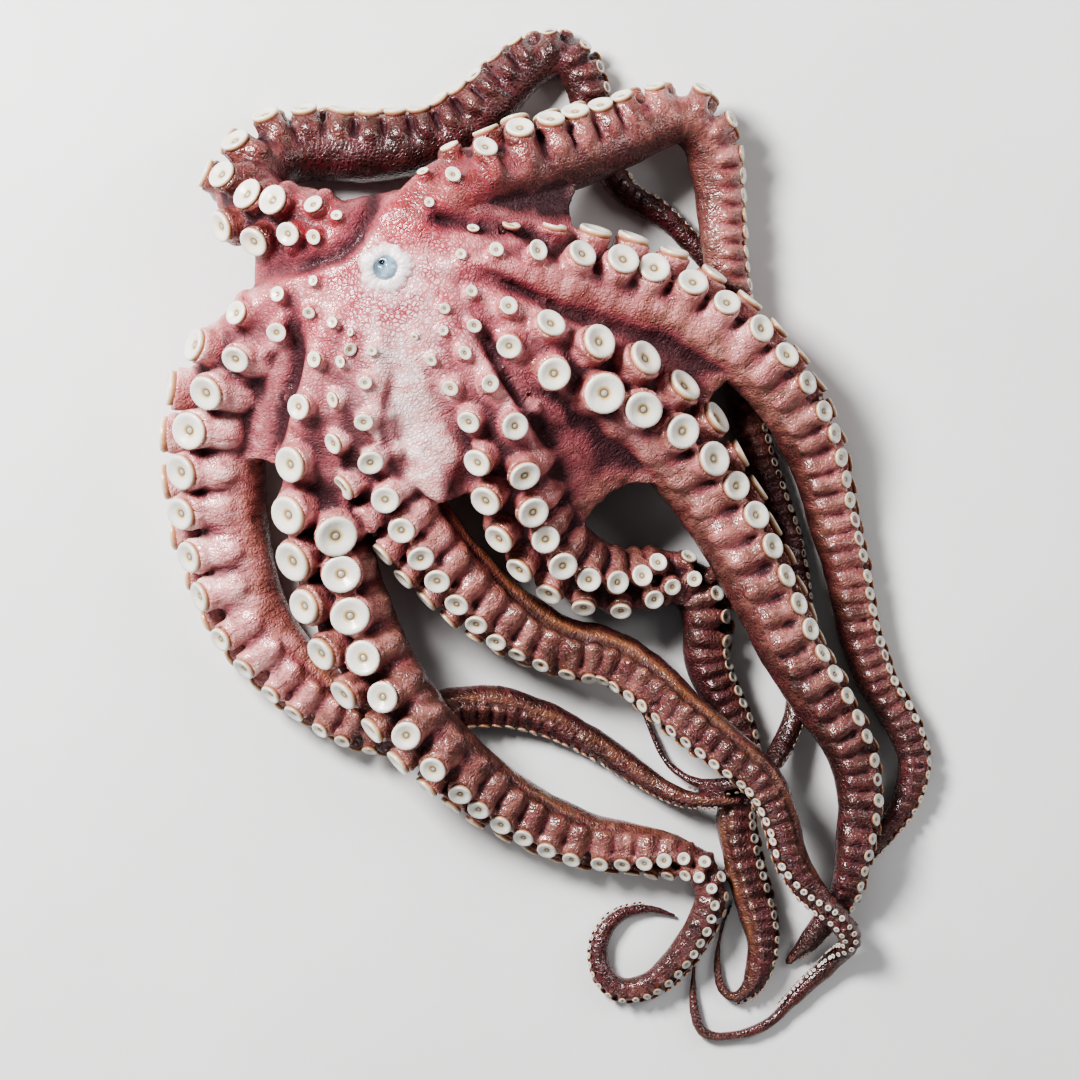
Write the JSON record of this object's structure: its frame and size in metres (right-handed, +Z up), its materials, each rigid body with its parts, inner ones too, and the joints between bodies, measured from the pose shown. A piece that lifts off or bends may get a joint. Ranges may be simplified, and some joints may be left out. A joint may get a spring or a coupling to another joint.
{
  "type": "whole octopus",
  "caption": "Whole raw octopus lying mouth up, its arms spread and coiled around it with their suckers showing, the mantle tucked beneath.",
  "frame": {"origin": "middle of the outline seen from above, on the table it lies on", "axes": "+Z up, the way the mouth faces; +Y from the gathered arm tips towards the mouth; +X to the right of that"},
  "size_m": [0.3106, 0.406, 0.0779],
  "materials": {
    "skin": "wet skin, pink and white near the mouth, maroon in the folds, brown towards the tips",
    "beak": "wet blue-grey horn"
  },
  "bodies": {
    "root": {"octopus": "skin", "beak": "beak"}
  },
  "joints": []
}
